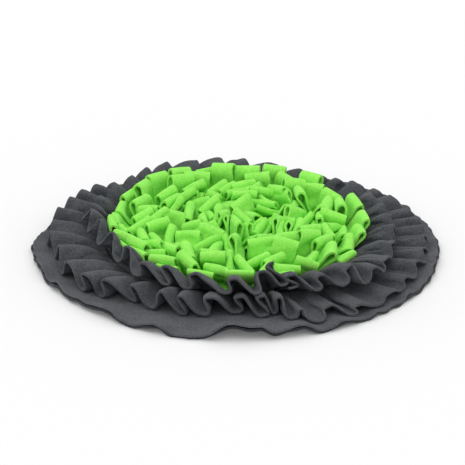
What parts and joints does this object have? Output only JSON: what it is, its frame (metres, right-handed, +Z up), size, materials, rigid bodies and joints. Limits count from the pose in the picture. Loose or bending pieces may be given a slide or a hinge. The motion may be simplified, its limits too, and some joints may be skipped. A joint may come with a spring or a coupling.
{
  "type": "snuffle mat",
  "caption": "Round fleece snuffle mat with a double base, two gathered ruffles and a pile of fleece strip loops to hide dry food in.",
  "frame": {"origin": "centre of the underside, on the floor the mat lies on", "axes": "+Z up through the loops; -Y is the front, where the ends of the upper ruffle meet"},
  "size_m": [0.48, 0.4706, 0.0456],
  "materials": {
    "base_underside": "napped fleece",
    "grey_fleece": "napped fleece",
    "green_fleece": "napped fleece"
  },
  "bodies": {
    "root": {"base_lower": "base_underside", "base_upper": "grey_fleece", "ruffle_lower": "grey_fleece", "ruffle_upper": "grey_fleece", "loop_pile": "green_fleece"}
  },
  "joints": []
}
